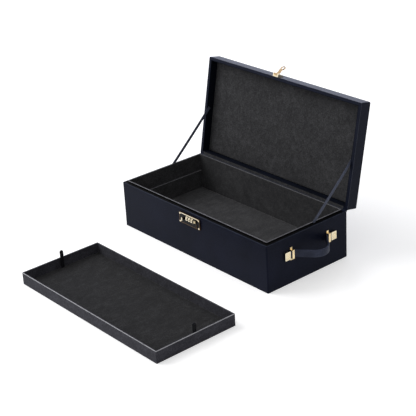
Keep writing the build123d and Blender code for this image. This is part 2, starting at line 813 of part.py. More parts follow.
with BuildPart() as hasp_screws:
    with BuildSketch(hasp_face.offset(hasp_base_thickness)):
        with Locations(*hasp_screw_spots):
            Circle(hasp_screw_head_radius)
    extrude(amount=hasp_screw_head)
    with BuildSketch(hasp_face.offset(hasp_base_thickness)):
        with Locations(*hasp_screw_spots):
            Circle(hasp_screw_radius)
    extrude(amount=-hasp_screw_length)
hasp_screws.part.label = "hasp_screws"
export_step(hasp_screws.part, "parts/hasp_screws.step")

with BuildPart() as hasp_pin:
    with BuildSketch(arm_side):
        Circle(pin_radius)
    extrude(amount=hasp_width / 2, both=True)
    for end in (-1, 1):
        with BuildSketch(arm_side.offset(end * hasp_width / 2)):
            Circle(pin_head_radius)
        extrude(amount=end * pin_head_thickness)
hasp_pin.part.label = "hasp_pin"
export_step(hasp_pin.part, "parts/hasp_pin.step")

with BuildPart() as hasp_arm:
    with BuildSketch(arm_side):
        with BuildLine():
            FilletPolyline(
                (0, arm_low),
                (arm_joggle_start, arm_low),
                (arm_joggle_start + arm_joggle_length, arm_low + arm_joggle),
                (eye_distance + eye_width, arm_low + arm_joggle),
                radius=arm_thickness,
            )
        trace(line_width=arm_thickness)
    extrude(amount=eye_width, both=True)
    with BuildSketch(arm_plan):
        with Locations((eye_distance / 2, 0)):
            Rectangle(eye_distance, arm_width)
        with Locations((eye_distance, 0)):
            Circle(eye_width / 2)
            RectangleRounded(eye_hole_length, eye_hole_width, eye_hole_radius, mode=Mode.SUBTRACT)
    extrude(amount=2 * barrel_radius, both=True, mode=Mode.INTERSECT)
    with BuildSketch(arm_side):
        Circle(barrel_radius)
    extrude(amount=inner_half_width - hasp_cheek_gap, both=True)
    with BuildSketch(arm_side):
        Circle(pin_radius + running_gap)
    extrude(amount=hasp_width / 2, both=True, mode=Mode.SUBTRACT)
hasp_arm.part.label = "hasp_arm"
export_step(hasp_arm.part, "parts/hasp_arm.step")


# ---------------------------------------- tray ----------------------------------------

tray_plane = Plane(
    origin=(tray_centre_x, tray_centre_y, 0),
    x_dir=(cos(radians(tray_turn)), sin(radians(tray_turn)), 0),
    z_dir=(0, 0, 1),
)

with BuildPart() as tray_box:
    with BuildSketch(tray_plane):
        RectangleRounded(tray_length, tray_depth, tray_corner_radius)
    extrude(amount=tray_height)
    with BuildSketch(tray_plane.offset(tray_floor)):
        Rectangle(tray_length - 2 * tray_wall, tray_depth - 2 * tray_wall)
    extrude(amount=tray_height - tray_floor, mode=Mode.SUBTRACT)
    chamfer(tray_box.faces().sort_by(Axis.Z)[-1].edges(), tray_rim_bevel)
tray_box.part.label = "tray_box"
export_step(tray_box.part, "parts/tray_box.step")

with BuildPart() as tray_pad:
    with BuildSketch(tray_plane.offset(tray_floor)):
        Rectangle(tray_length - 2 * tray_wall, tray_depth - 2 * tray_wall)
    extrude(amount=tray_pad_thickness)
tray_pad.part.label = "tray_pad"
export_step(tray_pad.part, "parts/tray_pad.step")

for side_name, side in sides.items():
    loop_foot = tray_plane.from_local_coords(
        Vector(side * (tray_length / 2 - tray_wall - loop_tape_width / 2), 0, tray_floor + tray_pad_thickness)
    )
    loop_plane = Plane(origin=loop_foot, x_dir=tray_plane.y_dir, z_dir=tray_plane.x_dir)
    loop_rise = loop_height - tray_floor - tray_pad_thickness - loop_tape_thickness / 2
    with BuildPart() as tray_loop:
        with BuildSketch(loop_plane):
            with BuildLine():
                FilletPolyline(
                    (-loop_foot_width / 2, 0),
                    (-loop_top_width / 2, loop_rise),
                    (loop_top_width / 2, loop_rise),
                    (loop_foot_width / 2, 0),
                    radius=loop_top_radius,
                )
            trace(line_width=loop_tape_thickness)
        extrude(amount=loop_tape_width / 2, both=True)
        split(bisect_by=Plane(loop_foot), keep=Keep.TOP)
    tray_loop.part.label = f"tray_loop_{side_name}"
    export_step(tray_loop.part, f"parts/tray_loop_{side_name}.step")
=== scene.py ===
import json
import math
import bpy
import bmesh
from mathutils import Matrix, Vector


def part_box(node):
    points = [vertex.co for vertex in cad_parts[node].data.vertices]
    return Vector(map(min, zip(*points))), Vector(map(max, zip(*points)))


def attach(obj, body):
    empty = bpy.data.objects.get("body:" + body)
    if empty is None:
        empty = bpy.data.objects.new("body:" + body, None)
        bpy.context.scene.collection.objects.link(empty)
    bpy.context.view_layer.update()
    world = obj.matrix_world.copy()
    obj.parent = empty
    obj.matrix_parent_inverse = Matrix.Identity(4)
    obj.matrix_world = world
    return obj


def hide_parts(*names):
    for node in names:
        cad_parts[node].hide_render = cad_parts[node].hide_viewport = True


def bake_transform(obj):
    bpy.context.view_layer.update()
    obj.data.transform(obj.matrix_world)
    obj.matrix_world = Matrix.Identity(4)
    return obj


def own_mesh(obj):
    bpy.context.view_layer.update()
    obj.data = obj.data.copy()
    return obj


# Dresses a leather case and its lift-out tray: finishes for the solids, then soft pieces, trim and the room.
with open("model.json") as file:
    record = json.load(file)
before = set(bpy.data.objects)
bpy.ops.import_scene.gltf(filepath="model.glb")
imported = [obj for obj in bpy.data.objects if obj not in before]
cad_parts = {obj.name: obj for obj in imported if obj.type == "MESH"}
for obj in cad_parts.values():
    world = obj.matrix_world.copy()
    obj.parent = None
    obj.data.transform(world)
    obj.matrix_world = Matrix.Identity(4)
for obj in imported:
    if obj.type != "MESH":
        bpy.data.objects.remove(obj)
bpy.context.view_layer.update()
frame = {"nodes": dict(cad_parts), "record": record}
nodes = frame["nodes"]
print("stage: frame loaded,", len(nodes), "nodes")

# Everything is in metres. mm turns a size in millimetres into scene units.
mm = 0.001

cameraSettings = {
    "location": (1.57629, -1.34865, 1.02287),
    "right": (0.65178, 0.75662, -0.05197),
    "up": (-0.28646, 0.30906, 0.90687),
    "back": (0.70222, -0.57620, 0.41818),
    "lens": 107.27,
    "sensor": 36.0,
    "nearest": 0.05,
    "furthest": 60.0,
}


def makeCamera(s):
    data = bpy.data.cameras.new("camera")
    data.lens = s["lens"]
    data.sensor_width = s["sensor"]
    data.clip_start = s["nearest"]
    data.clip_end = s["furthest"]
    obj = bpy.data.objects.new("camera", data)
    bpy.context.scene.collection.objects.link(obj)
    turn = Matrix((s["right"], s["up"], s["back"])).transposed().to_4x4()
    obj.matrix_world = Matrix.Translation(s["location"]) @ turn
    bpy.context.scene.camera = obj


makeCamera(cameraSettings)
bpy.context.scene.view_settings.view_transform = "Standard"
print("stage: camera made")


def srgb(hexColour):
    # turns an sRGB hex value to the linear one that shaders want
    values = [int(hexColour[i:i + 2], 16) / 255 for i in (1, 3, 5)]
    linear = [v / 12.92 if v <= 0.04045 else ((v + 0.055) / 1.055) ** 2.4 for v in values]
    return (*linear, 1.0)


def addNode(tree, kind, settings=None, links=None, stops=None, **inputs):
    # adds a node, sets its properties, inputs and colour stops, and links outputs of other nodes to it
    node = tree.nodes.new(kind)
    for name, value in (settings or {}).items():
        setattr(node, name, value)
    for name, value in inputs.items():
        node.inputs[name.replace("_", " ")].default_value = value
    for name, source in (links or {}).items():
        tree.links.new(source, node.inputs[name])
    if stops:
        stops = list(stops)
        band = node.color_ramp
        while len(band.elements) < len(stops):
            band.elements.new(0.5)
        for element, (place, colour) in zip(band.elements, stops):
            element.position = place
            element.color = srgb(colour)
    return node


def newMaterial(name):
    material = bpy.data.materials.new(name)
    material.use_nodes = True
    tree = material.node_tree
    tree.nodes.clear()
    return material, tree


# In the materials' dictionaries sizes are in millimetres, and a tone or dye span says where on the texture's
# scale of 0 to 1 each colour lies. A wave texture repeats every pi / 10 of its own scale.
waveRepeat = math.pi / 10

# Full-grain calf, dyed navy, pressed smooth and finished satin: nearly all of what is seen is its sheen,
# with a fine pebbled grain that only breaks it up slightly, and a faint cloudiness of the dye. The real
# grain is about half a millimetre and wouldn't show, so it is drawn at twice that.
leather = {
    "dye": "#181c2a",
    "dyeWorn": "#212536",
    "dyeSpan": (0.35, 0.75),
    "cloud": 70.0,
    "cloudDetail": 4.0,
    "grain": 1.1,
    "grainSoftness": 0.6,
    "grainTop": "#ffffff",
    "grainShade": "#c4c4cc",
    "grainSpan": (0.15, 0.7),
    "grainHeight": 0.1,
    "grainStrength": 0.5,
    "roughness": 0.42,
    "roughnessSpread": 0.05,
    "ior": 1.4,
    "specular": 0.06,
}
# The lid is wiped and handled the most, so its wax has more of a shine.
lidLeather = dict(leather, specular=0.085)
# Where the leather is turned over an edge it is painted paler: a painted highlight for the light that the
# rounded edge catches.
turnedEdgeHighlight = dict(leather, dye="#333a4a", dyeWorn="#4b5365", roughness=0.4, specular=0.2)
# Along the case's own rim it stays nearly as dark as the walls, only a little paler: a faint painted
# highlight.
rimEdge = dict(leather, dye="#252a37", dyeWorn="#3a4050", roughness=0.4, specular=0.1)
# The handle straps are softer, unpolished calf of a lighter slate.
strapLeather = dict(leather, dye="#3b4050", dyeWorn="#4a5063", roughness=0.5, specular=0.15,
                    grain=0.9, cloud=18.0)
# The lid's inner walls are lined with a finer, darker calf than the outside; its near-black dye is partly
# painted shade for the walls of the lid's recess.
liningLeather = dict(leather, dye="#12151d", dyeWorn="#191d28", roughness=0.6, specular=0.03)


def leatherMaterial(name, s):
    material, tree = newMaterial(name)
    place = addNode(tree, "ShaderNodeTexCoord").outputs["Object"]
    grain = addNode(tree, "ShaderNodeTexVoronoi", {"feature": "SMOOTH_F1"}, {"Vector": place},
                    Scale=1 / (s["grain"] * mm), Smoothness=s["grainSoftness"])
    cloud = addNode(tree, "ShaderNodeTexNoise", None, {"Vector": place},
                    Scale=1 / (s["cloud"] * mm), Detail=s["cloudDetail"])
    dye = addNode(tree, "ShaderNodeValToRGB", None, {"Fac": cloud.outputs["Fac"]},
                  zip(s["dyeSpan"], (s["dye"], s["dyeWorn"])))
    rough = addNode(tree, "ShaderNodeMapRange", None, {"Value": cloud.outputs["Fac"]},
                    To_Min=s["roughness"] - s["roughnessSpread"],
                    To_Max=s["roughness"] + s["roughnessSpread"])
    # the tops of the pebbles are lighter and the creases between them darker: partly dye pooled in the
    # creases, partly painted shade there
    pebble = addNode(tree, "ShaderNodeValToRGB", None, {"Fac": grain.outputs["Distance"]},
                     zip(s["grainSpan"], (s["grainTop"], s["grainShade"])))
    dyed = addNode(tree, "ShaderNodeMixRGB", {"blend_type": "MULTIPLY"},
                   {"Color1": dye.outputs["Color"], "Color2": pebble.outputs["Color"]}, Fac=1.0)
    bump = addNode(tree, "ShaderNodeBump", {"invert": True}, {"Height": grain.outputs["Distance"]},
                   Strength=s["grainStrength"], Distance=s["grainHeight"] * mm)
    shader = addNode(tree, "ShaderNodeBsdfPrincipled", None,
                     {"Base Color": dyed.outputs["Color"], "Normal": bump.outputs["Normal"],
                      "Roughness": rough.outputs["Result"]},
                     IOR=s["ior"], Specular_IOR_Level=s["specular"])
    addNode(tree, "ShaderNodeOutputMaterial", None, {"Surface": shader.outputs["BSDF"]})
    return material


# Microfibre suede glued to board: a short nap that lies in soft patches, so it looks brushed lighter and
# darker every few centimetres, with finer streaks where a hand has passed over it, and a dusty sheen at
# grazing angles. The nap itself is too fine to show, so it is drawn at a few millimetres.
suede = {
    "dark": "#252527",
    "mid": "#353537",
    "light": "#474749",
    "toneSpan": (0.38, 0.5, 0.62),
    "patch": 26.0,
    "patchDetail": 6.0,
    "patchWarp": 0.8,
    "streak": 7.0,
    "streakDetail": 4.0,
    "streakTurn": (0.5, 0.3, 0.6),
    "streakStretch": (1.0, 0.35, 1.0),
    "streakShare": 0.45,
    "contrast": 0.7,
    "nap": 2.2,
    "napDetail": 3.0,
    "napShare": 0.4,
    "napHeight": 0.5,
    "napStrength": 0.5,
    "roughness": 0.95,
    "specular": 0.2,
    "sheen": 0.08,
    "sheenRoughness": 0.5,
}
# The tray's sides are the same suede, a little paler and bluer than the panels: painted sheen.
traySuede = dict(suede, dark="#2c2c32", mid="#3a3a41", light="#4a4a52", patch=18.0)
# Where suede is folded over a rim it is painted pale as a thin line: a painted highlight for the light that
# the fold catches, fainter on the lip.
rimSuede = dict(suede, dark="#9a9aa0", mid="#b0b0b6", light="#c6c6cb", patch=14.0, sheen=0.2)
lipSuede = dict(suede, dark="#5c5c62", mid="#707076", light="#85858b", patch=14.0, sheen=0.15)
# The tray's floor is painted darker than the other suede: painted shade for its place down between the tray's
# walls.
trayFloorSuede = dict(suede, dark="#131315", mid="#202022", light="#313133")


def suedeMaterial(name, s):
    material, tree = newMaterial(name)
    place = addNode(tree, "ShaderNodeTexCoord").outputs["Object"]
    patch = addNode(tree, "ShaderNodeTexNoise", None, {"Vector": place}, Scale=1 / (s["patch"] * mm),
                    Detail=s["patchDetail"], Roughness=s["contrast"], Distortion=s["patchWarp"])
    slant = addNode(tree, "ShaderNodeMapping", None, {"Vector": place},
                    Rotation=s["streakTurn"], Scale=s["streakStretch"])
    streak = addNode(tree, "ShaderNodeTexNoise", None, {"Vector": slant.outputs["Vector"]},
                     Scale=1 / (s["streak"] * mm), Detail=s["streakDetail"], Roughness=s["contrast"])
    fibre = addNode(tree, "ShaderNodeTexNoise", None, {"Vector": place},
                    Scale=1 / (s["nap"] * mm), Detail=s["napDetail"])
    broad = addNode(tree, "ShaderNodeMix", {"data_type": "FLOAT"},
                    {"A": patch.outputs["Fac"], "B": streak.outputs["Fac"]}, Factor=s["streakShare"])
    mixed = addNode(tree, "ShaderNodeMix", {"data_type": "FLOAT"},
                    {"A": broad.outputs["Result"], "B": fibre.outputs["Fac"]}, Factor=s["napShare"])
    colour = addNode(tree, "ShaderNodeValToRGB", None, {"Fac": mixed.outputs["Result"]},
                     zip(s["toneSpan"], (s["dark"], s["mid"], s["light"])))
    bump = addNode(tree, "ShaderNodeBump", None, {"Height": mixed.outputs["Result"]},
                   Strength=s["napStrength"], Distance=s["napHeight"] * mm)
    shader = addNode(tree, "ShaderNodeBsdfPrincipled", None,
                     {"Base Color": colour.outputs["Color"], "Normal": bump.outputs["Normal"]},
                     Roughness=s["roughness"], Specular_IOR_Level=s["specular"],
                     Sheen_Weight=s["sheen"], Sheen_Roughness=s["sheenRoughness"])
    addNode(tree, "ShaderNodeOutputMaterial", None, {"Surface": shader.outputs["BSDF"]})
    return material


# Grosgrain ribbon, woven of slate polyester: raised ribs across its width, under a millimetre apart, and firm
# selvedges. Each rib's top is painted lighter and each valley darker, a painted sheen on the ribs and painted
# shade between them. Its pattern follows the ribbon, through the strip's own coordinates.
grosgrain = {
    "valley": "#2d313e",
    "rib": "#5c6277",
    "toneSpan": (0.1, 0.75),
    "ribPitch": 0.9,
    "ribWobble": 0.4,
    "ribDetail": 1.0,
    "ribHeight": 0.12,
    "ribStrength": 0.6,
    "roughness": 0.62,
    "specular": 0.2,
    "sheen": 0.15,
}
# The tray's pull loops are the same weave in black.
pullTape = dict(grosgrain, valley="#050609", rib="#0f1117", ribPitch=0.8, roughness=0.8, sheen=0.0)


def ribbonMaterial(name, s):
    material, tree = newMaterial(name)
    place = addNode(tree, "ShaderNodeTexCoord").outputs["UV"]
    ribs = addNode(tree, "ShaderNodeTexWave", {"bands_direction": "Y"}, {"Vector": place},
                   Scale=waveRepeat / (s["ribPitch"] * mm), Distortion=s["ribWobble"], Detail=s["ribDetail"])
    colour = addNode(tree, "ShaderNodeValToRGB", None, {"Fac": ribs.outputs["Fac"]},
                     zip(s["toneSpan"], (s["valley"], s["rib"])))
    bump = addNode(tree, "ShaderNodeBump", None, {"Height": ribs.outputs["Fac"]},
                   Strength=s["ribStrength"], Distance=s["ribHeight"] * mm)
    shader = addNode(tree, "ShaderNodeBsdfPrincipled", None,
                     {"Base Color": colour.outputs["Color"], "Normal": bump.outputs["Normal"]},
                     Roughness=s["roughness"], Specular_IOR_Level=s["specular"], Sheen_Weight=s["sheen"])
    addNode(tree, "ShaderNodeOutputMaterial", None, {"Surface": shader.outputs["BSDF"]})
    return material


# Pale gold plate on polished brass: a clear warm mirror with faint polishing marks.
gold = {
    "colour": "#fbf0d8",
    "shade": "#f6e8c8",
    "toneSpan": (0.3, 0.6),
    "roughness": 0.16,
    "roughnessSpan": (0.8, 1.3),
    "marks": 3.0,
    "marksDetail": 3.0,
    "marksHeight": 0.1,
    "marksStrength": 0.08,
}
# The straps' end caps are cast with ribs; their plate is a greyer, darker copy of the gold: painted shade.
capGold = dict(gold, colour="#ece1c6", shade="#e3d5b2", roughness=0.2)
# The straps' keepers were tumbled before plating, so they are more satin.
satinGold = dict(gold, colour="#f7e3ba", shade="#efd5a2", roughness=0.33, marks=1.2)
# The hasp's arm is a warmer, darker and duller copy of the gold: painted shade.
shadedArmGold = dict(gold, colour="#ceb28c", shade="#b89a74", roughness=0.2, marks=2.0)
# The lock's frame is the same brass in a dark brown copy of the gold: painted shade. Its polished upper rail
# is a piece of its own in the plain gold, the frame's lit top edge.
shadedFrameGold = dict(gold, colour="#6b5641", shade="#574534", marks=2.5)
# The lock's case and axle, its spring and the keepers' legs are bare bright steel: a cooler, softer mirror.
steel = dict(gold, colour="#c9cbce", shade="#a8abaf", roughness=0.28, marks=2.0)


def metalMaterial(name, s):
    material, tree = newMaterial(name)
    place = addNode(tree, "ShaderNodeTexCoord").outputs["Object"]
    marks = addNode(tree, "ShaderNodeTexNoise", None, {"Vector": place},
                    Scale=1 / (s["marks"] * mm), Detail=s["marksDetail"])
    tone = addNode(tree, "ShaderNodeValToRGB", None, {"Fac": marks.outputs["Fac"]},
                   zip(s["toneSpan"], (s["shade"], s["colour"])))
    least, most = s["roughnessSpan"]
    rough = addNode(tree, "ShaderNodeMapRange", None, {"Value": marks.outputs["Fac"]},
                    To_Min=s["roughness"] * least, To_Max=s["roughness"] * most)
    bump = addNode(tree, "ShaderNodeBump", None, {"Height": marks.outputs["Fac"]},
                   Strength=s["marksStrength"], Distance=s["marksHeight"] * mm)
    shader = addNode(tree, "ShaderNodeBsdfPrincipled", None,
                     {"Base Color": tone.outputs["Color"], "Roughness": rough.outputs["Result"],
                      "Normal": bump.outputs["Normal"]}, Metallic=1.0)
    addNode(tree, "ShaderNodeOutputMaterial", None, {"Surface": shader.outputs["BSDF"]})
    return material


# Black lacquer on brass, polished: near-black with a clear gloss coat.
lacquer = {
    "colour": "#08080a",
    "haze": "#101013",
    "toneSpan": (0.35, 0.7),
    "roughness": 0.2,
    "roughnessSpan": (0.6, 1.6),
    "specular": 0.12,
    "mottle": 4.0,
    "mottleDetail": 2.0,
}
# The digits are filled with the same black as enamel, wiped flush and so less glossy.
enamel = dict(lacquer, colour="#0a0a0a", haze="#191919", roughness=0.4, specular=0.3, mottle=0.6)
# A matt, dead black, put on the rim welt as painted shadow.
rimShadowBlack = dict(lacquer, colour="#030304", haze="#070708", roughness=0.55, specular=0.04, mottle=2.0)


def lacquerMaterial(name, s):
    material, tree = newMaterial(name)
    place = addNode(tree, "ShaderNodeTexCoord").outputs["Object"]
    haze = addNode(tree, "ShaderNodeTexNoise", None, {"Vector": place},
                   Scale=1 / (s["mottle"] * mm), Detail=s["mottleDetail"])
    tone = addNode(tree, "ShaderNodeValToRGB", None, {"Fac": haze.outputs["Fac"]},
                   zip(s["toneSpan"], (s["colour"], s["haze"])))
    least, most = s["roughnessSpan"]
    rough = addNode(tree, "ShaderNodeMapRange", None, {"Value": haze.outputs["Fac"]},
                    To_Min=s["roughness"] * least, To_Max=s["roughness"] * most)
    shader = addNode(tree, "ShaderNodeBsdfPrincipled", None,
                     {"Base Color": tone.outputs["Color"], "Roughness": rough.outputs["Result"]},
                     Specular_IOR_Level=s["specular"])
    addNode(tree, "ShaderNodeOutputMaterial", None, {"Surface": shader.outputs["BSDF"]})
    return material


# Planed spruce, bare: growth rings a few millimetres apart that run along each batten, with a soft sheen.
spruce = {
    "early": "#c9ad80",
    "late": "#a07d4e",
    "toneSpan": (0.2, 0.85),
    "ringPitch": 3.2,
    "ringStretch": (1.0, 0.06, 1.0),
    "ringWobble": 3.0,
    "ringDetail": 3.0,
    "roughness": 0.62,
}


def spruceMaterial(name, s):
    material, tree = newMaterial(name)
    place = addNode(tree, "ShaderNodeTexCoord").outputs["Object"]
    drawn = addNode(tree, "ShaderNodeMapping", None, {"Vector": place}, Scale=s["ringStretch"])
    rings = addNode(tree, "ShaderNodeTexWave", {"bands_direction": "X"}, {"Vector": drawn.outputs["Vector"]},
                    Scale=waveRepeat / (s["ringPitch"] * mm), Distortion=s["ringWobble"],
                    Detail=s["ringDetail"])
    tone = addNode(tree, "ShaderNodeValToRGB", None, {"Fac": rings.outputs["Fac"]},
                   zip(s["toneSpan"], (s["early"], s["late"])))
    shader = addNode(tree, "ShaderNodeBsdfPrincipled", None, {"Base Color": tone.outputs["Color"]},
                     Roughness=s["roughness"])
    addNode(tree, "ShaderNodeOutputMaterial", None, {"Surface": shader.outputs["BSDF"]})
    return material


calf = leatherMaterial("navyCalfLeather", leather)
lidCalf = leatherMaterial("waxedCalfLid", lidLeather)
edgeCalf = leatherMaterial("paleCalfEdgeHighlight", turnedEdgeHighlight)
rimCalf = leatherMaterial("darkCalfRim", rimEdge)
strapCalf = leatherMaterial("slateCalfStrap", strapLeather)
liningCalf = leatherMaterial("inkCalfLining", liningLeather)
nap = suedeMaterial("charcoalMicrosuede", suede)
trayNap = suedeMaterial("paleTraySuedeSheen", traySuede)
rimNap = suedeMaterial("paleSuedeRimHighlight", rimSuede)
lipNap = suedeMaterial("paleSuedeLipHighlight", lipSuede)
trayFloorNap = suedeMaterial("darkTraySuedeShade", trayFloorSuede)
ribbonWeave = ribbonMaterial("slateGrosgrain", grosgrain)
pullWeave = ribbonMaterial("blackGrosgrain", pullTape)
plate = metalMaterial("paleGoldPlate", gold)
satinPlate = metalMaterial("satinGoldPlate", satinGold)
capPlate = metalMaterial("ribbedGoldCap", capGold)
shadedArmPlate = metalMaterial("shadedArmGoldPlate", shadedArmGold)
shadedFramePlate = metalMaterial("shadedFrameBrass", shadedFrameGold)
bright = metalMaterial("brightSteel", steel)
black = lacquerMaterial("blackLacquer", lacquer)
ink = lacquerMaterial("blackDigitEnamel", enamel)
shadowBlack = lacquerMaterial("blackRimShadow", rimShadowBlack)
batten = spruceMaterial("planedSpruce", spruce)
print("stage: materials made")

# What each material slot gets, and the pieces whose finish differs from their slot's.
finishes = {
    "leather": calf,
    "suede": nap,
    "gold": plate,
    "steel": bright,
    "black": black,
    "ribbon": ribbonWeave,
    "wood": batten,
}
ownFinishes = {
    "lid_shell": lidCalf,
    "lid_lining": liningCalf,
    "tray_box": trayNap,
    "hasp_arm": shadedArmPlate,
    "lock_plate": shadedFramePlate,
}
for side in ("left", "right"):
    ownFinishes["ribbon_tab_" + side] = liningCalf
    ownFinishes["keepers_" + side] = satinPlate
    for end in ("front", "rear"):
        ownFinishes["strap_cap_" + side + "_" + end] = capPlate
for entry in frame["record"]["subparts"]:
    node = nodes[entry["node"]]
    node.data.materials.clear()
    node.data.materials.append(ownFinishes.get(entry["node"], finishes[entry["material_slot"]]))
print("stage: finishes given")


def addPiece(name, mesh, material, body=None):
    # links a new piece to the scene with its material; the body it rides on is given for rigid pieces
    obj = bpy.data.objects.new(name, mesh)
    bpy.context.scene.collection.objects.link(obj)
    mesh.materials.append(material)
    if body:
        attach(obj, body)
    return obj


def placeFrame(origin, along, across):
    # a frame from its origin, its x direction and its y direction
    x = Vector(along).normalized()
    y = Vector(across).normalized()
    z = x.cross(y)
    turn = Matrix((x, y, z)).transposed().to_4x4()
    return Matrix.Translation(origin) @ turn


def localBox(nodeName, place):
    # the corners of a CAD node in a turned frame
    back = place.inverted()
    points = [back @ v.co for v in nodes[nodeName].data.vertices]
    return [min(p[i] for p in points) for i in range(3)], [max(p[i] for p in points) for i in range(3)]


def smoothMesh(mesh):
    for face in mesh.polygons:
        face.use_smooth = True


def turnFacesOut(mesh):
    work = bmesh.new()
    work.from_mesh(mesh)
    bmesh.ops.recalc_face_normals(work, faces=work.faces)
    work.to_mesh(mesh)
    work.free()
    mesh.update()


def sweepMesh(name, centres, section, wide=(0.0, 0.0, 1.0), closed=False):
    # runs a closed section (pairs across, out) along a line; wide gives the section's first direction. Its
    # coordinates are metres across and along, so a weave keeps its real size.
    count = len(centres)
    sides = len(section)
    verts = []
    coords = []
    reach = 0.0
    for i, centre in enumerate(centres):
        before = centres[i - 1] if closed else centres[max(i - 1, 0)]
        after = centres[(i + 1) % count] if closed else centres[min(i + 1, count - 1)]
        ahead = (after - before).normalized()
        side = Vector(wide)
        side = (side - ahead * side.dot(ahead)).normalized()
        out = side.cross(ahead).normalized()
        verts += [centre + side * a + out * b for a, b in section]
        reach += (centre - centres[i - 1]).length if i else 0.0
        coords += [(a, reach) for a, b in section]
    faces = []
    for i in range(count if closed else count - 1):
        ring = i * sides
        nextRing = (i + 1) % count * sides
        for j in range(sides):
            k = (j + 1) % sides
            faces.append((ring + j, ring + k, nextRing + k, nextRing + j))
    if not closed:
        faces.append(tuple(range(sides))[::-1])
        faces.append(tuple((count - 1) * sides + j for j in range(sides)))
    mesh = bpy.data.meshes.new(name)
    mesh.from_pydata([tuple(v) for v in verts], [], faces)
    layer = mesh.uv_layers.new(name="along")
    for loop in mesh.loops:
        layer.data[loop.index].uv = coords[loop.vertex_index]
    turnFacesOut(mesh)
    smoothMesh(mesh)
    return mesh


def flatSection(width, thickness, steps=4, crown=0.0):
    # a strap's section: two rounded edges of so many steps, a flat face, and one with a slight crown
    radius = thickness / 2
    half = width / 2 - radius
    points = []
    for side in (1, -1):
        for step in range(steps + 1):
            angle = -math.pi / 2 + math.pi * step / steps
            points.append((side * (half + radius * math.cos(angle)), side * radius * math.sin(angle)))
        if side == 1:
            points += [(half * t, radius + crown * (1 - t * t)) for t in (0.5, 0.0, -0.5)]
        else:
            points += [(half * t, -radius) for t in (-0.5, 0.0, 0.5)]
    return points


def roundSection(radius, sides=10):
    angles = [math.tau * k / sides for k in range(sides)]
    return [(radius * math.cos(angle), radius * math.sin(angle)) for angle in angles]


def roundedLine(corners, radii, steps=10):
    # a line through corners, each inner one rounded to its radius
    line = [corners[0]]
    for before, corner, after, radius in zip(corners, corners[1:], corners[2:], radii):
        a = (before - corner).normalized()
        b = (after - corner).normalized()
        half = a.angle(b) / 2
        reach = radius / math.tan(half)
        centre = corner + (a + b).normalized() * radius / math.sin(half)
        start = corner + a * reach - centre
        end = corner + b * reach - centre
        turn = start.angle(end)
        for step in range(steps + 1):
            t = step / steps
            spoke = start * math.sin((1 - t) * turn) + end * math.sin(t * turn)
            line.append(centre + spoke / math.sin(turn))
    line.append(corners[-1])
    return line


def evenLine(line, gap):
    # the same line with its points no further apart than gap
    even = [line[0]]
    for a, b in zip(line, line[1:]):
        count = max(1, math.ceil((b - a).length / gap))
        even += [a.lerp(b, (k + 1) / count) for k in range(count)]
    return even


def boxRound(low, high, corner, steps=5):
    # the outline of a box with rounded corners, anticlockwise from the corner at its far right
    x0, y0 = low
    x1, y1 = high
    points = []
    for cx, cy, start in ((x1, y1, 0), (x0, y1, 90), (x0, y0, 180), (x1, y0, 270)):
        ox = cx - math.copysign(corner, cx - (x0 + x1) / 2)
        oy = cy - math.copysign(corner, cy - (y0 + y1) / 2)
        for k in range(steps + 1):
            angle = math.radians(start + 90 * k / steps)
            points.append((ox + corner * math.cos(angle), oy + corner * math.sin(angle)))
    return points


# The frames that pieces are made in. The tray lies square to the case, so it shares the case's. The lid's
# starts at the middle of the hinge line, with y out along the lid and z from its rim towards its top. The lid
# rests open, its hinge's whole range away from closed.
hinge = [joint for joint in frame["record"]["behaviour"]["joints"] if joint["name"] == "lid_hinge"][0]
lidAngle = math.radians(hinge["range_deg"][1])
lidOut = Vector((0.0, -math.cos(lidAngle), math.sin(lidAngle)))
lidUp = Vector((0.0, math.sin(lidAngle), math.cos(lidAngle)))
frames = {
    "case": Matrix.Identity(4),
    "lid": placeFrame(hinge["pos_m"], (-1.0, 0.0, 0.0), lidOut),
}

# Each pad is a board with thin foam under suede: it rounds over at its edges, and the suede between them is
# not quite flat.
pads = {
    "floorPad": {"node": "floor_pad", "frame": "case", "body": "base", "glued": "low", "finish": nap,
                 "edge": 2.2, "swell": 0.7, "fill": 0.5},
    "lidPad": {"node": "lid_pad", "frame": "lid", "body": "lid", "glued": "high", "finish": nap,
               "edge": 3.0, "swell": 1.1, "fill": 0.6},
    "trayPad": {"node": "tray_pad", "frame": "case", "body": "tray", "glued": "low", "finish": trayFloorNap,
                "edge": 1.2, "swell": 0.35, "fill": 0.4},
}
# The lines of a pad's grid crowd towards its edges, where the suede turns over. The wave is a share of the
# swell, and each of its two directions has a rate and a shift.
padGrid = {
    "columns": 72,
    "rows": 36,
    "crowding": 1.6,
    "crownPower": 4,
    "wave": 0.12,
    "waveAcross": (41, 1.3),
    "waveAlong": (53, 0.7),
}


def crowded(i, count, size):
    # where line i of count lies across a size
    t = 2 * i / count - 1
    return math.copysign(1 - (1 - abs(t)) ** padGrid["crowding"], t) * size / 2


def turnedDown(distance, edge):
    # how far the suede has turned down at a distance from the edge, as a share of the edge's radius
    if distance >= edge:
        return 0.0
    drop = 1 - distance / edge
    return 1 - math.sqrt(max(0.0, 1 - drop * drop))


